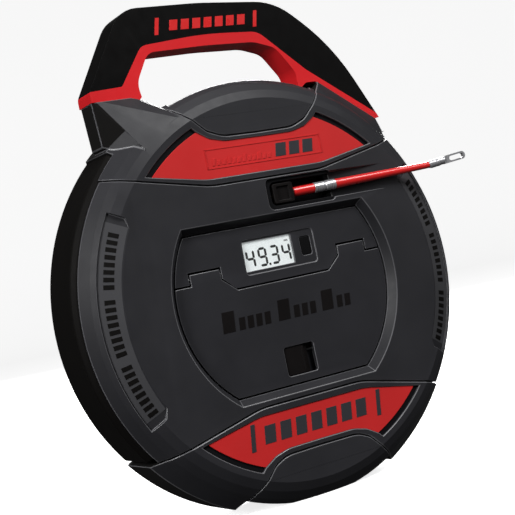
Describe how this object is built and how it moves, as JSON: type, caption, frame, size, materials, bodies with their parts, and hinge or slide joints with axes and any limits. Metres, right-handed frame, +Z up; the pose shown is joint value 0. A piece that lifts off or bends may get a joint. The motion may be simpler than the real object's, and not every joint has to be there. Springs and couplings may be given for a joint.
{
  "type": "fish tape reel",
  "caption": "Round hand-carried reel of glass-fibre pulling rod with a length counter, an accessory lid and a lead that ends in a swivelling eye.",
  "frame": {"origin": "middle of the standing flat under the case, under the basket's axle and half way through its thickness", "axes": "+Z up, +X to the right seen from the front, the face with the counter and the lid looks along -Y"},
  "size_m": [0.323, 0.0773, 0.3565],
  "materials": {
    "case_plastic": "fine-grained moulded charcoal",
    "back_plastic": "fine-grained moulded",
    "rim_rubber": "matt black",
    "frame_plastic": "fine-grained moulded charcoal",
    "inlay_red": "satin red",
    "handle_black": "satin black",
    "grip_red": "soft-touch red",
    "steel": "plain",
    "panel_plastic": "fine-grained moulded charcoal",
    "window_clear": "clear",
    "lcd_glass": "pale reflective display",
    "board_green": "solder mask",
    "nickel": "plain",
    "button_rubber": "matt",
    "inner_plastic": "plain black",
    "latch_black": "satin black",
    "bush_bronze": "sintered bronze",
    "glass_fibre": "coated glass-fibre rod",
    "wheel_white": "acetal",
    "lead_red": "smooth red sleeve",
    "chrome_fitting": "polished"
  },
  "bodies": {
    "case": {"front_shell": "case_plastic", "rear_shell": "back_plastic", "rim_bumper": "rim_rubber", "top_frame": "frame_plastic", "bottom_guard": "frame_plastic", "top_inlay": "inlay_red", "bottom_inlay": "inlay_red", "inlay_seats": "inner_plastic", "handle_core": "handle_black", "handle_grip": "grip_red", "handle_bolts": "steel", "shell_screws": "steel", "counter_housing": "panel_plastic", "display_window": "window_clear", "lcd_module": "lcd_glass", "circuit_board": "board_green", "battery": "nickel", "button_spring": "steel", "accessory_tray": "inner_plastic", "hinge_pins": "steel", "guide_housing": "inner_plastic", "rod_nozzle": "latch_black", "axle": "steel", "axle_washer": "steel", "axle_bolt": "steel", "wheel_bracket": "inner_plastic", "wheel_shaft": "steel", "roller_pin": "steel", "rear_hub_cover": "inner_plastic", "rear_pads": "rim_rubber"},
    "basket": {"basket": "inner_plastic", "hub_bush": "bush_bronze", "rod_coil": "glass_fibre"},
    "meter_wheel": {"measuring_wheel": "wheel_white", "measuring_tyre": "rim_rubber"},
    "roller": {"pinch_roller": "wheel_white"},
    "lid": {"lid": "panel_plastic", "latch_spring": "steel"},
    "latch": {"latch": "latch_black"},
    "button": {"reset_button": "button_rubber"},
    "lead": {"rod_tail": "glass_fibre", "lead_sleeve": "lead_red", "lead_ferrule": "chrome_fitting", "lead_tube": "lead_red", "tip_ferrule": "chrome_fitting"},
    "tip": {"swivel_eye": "chrome_fitting"}
  },
  "joints": [
    {"name": "basket_spin", "type": "hinge", "parent": "case", "child": "basket", "pos_m": [0, 0, 0.147], "axis": [0, 1, 0], "continuous": true},
    {"name": "meter_spin", "type": "hinge", "parent": "case", "child": "meter_wheel", "pos_m": [-0.062, -0.00221, 0.21063], "axis": [0, 0, 1], "continuous": true},
    {"name": "roller_spin", "type": "hinge", "parent": "case", "child": "roller", "pos_m": [-0.062, -0.02151, 0.21063], "axis": [0, 0, 1], "continuous": true},
    {"name": "lid_hinge", "type": "hinge", "parent": "case", "child": "lid", "pos_m": [0, -0.0228, 0.1655], "axis": [-1, 0, 0], "range_deg": [0, 105]},
    {"name": "latch_slide", "type": "slide", "parent": "lid", "child": "latch", "axis": [1, 0, 0], "range_m": [0, 0.0065], "stiffness_N_per_m": 300, "springref_m": -0.002, "deforming": ["latch_spring"]},
    {"name": "reset_press", "type": "slide", "parent": "case", "child": "button", "axis": [0, 1, 0], "range_m": [0, 0.0009], "stiffness_N_per_m": 600, "springref_m": -0.0008, "deforming": ["button_spring"]},
    {"name": "lead_feed", "type": "slide", "parent": "case", "child": "lead", "axis": [0.9927, -0.1191, 0.0166], "range_m": [0, 0.03]},
    {"name": "tip_swivel", "type": "hinge", "parent": "lead", "child": "tip", "pos_m": [0.13501, -0.0395, 0.21391], "axis": [0.9883, -0.1186, 0.0958], "continuous": true}
  ],
  "couplings": [
    {"joint": "meter_spin", "follows": "basket_spin", "ratio": 10},
    {"joint": "roller_spin", "follows": "basket_spin", "ratio": -30}
  ]
}
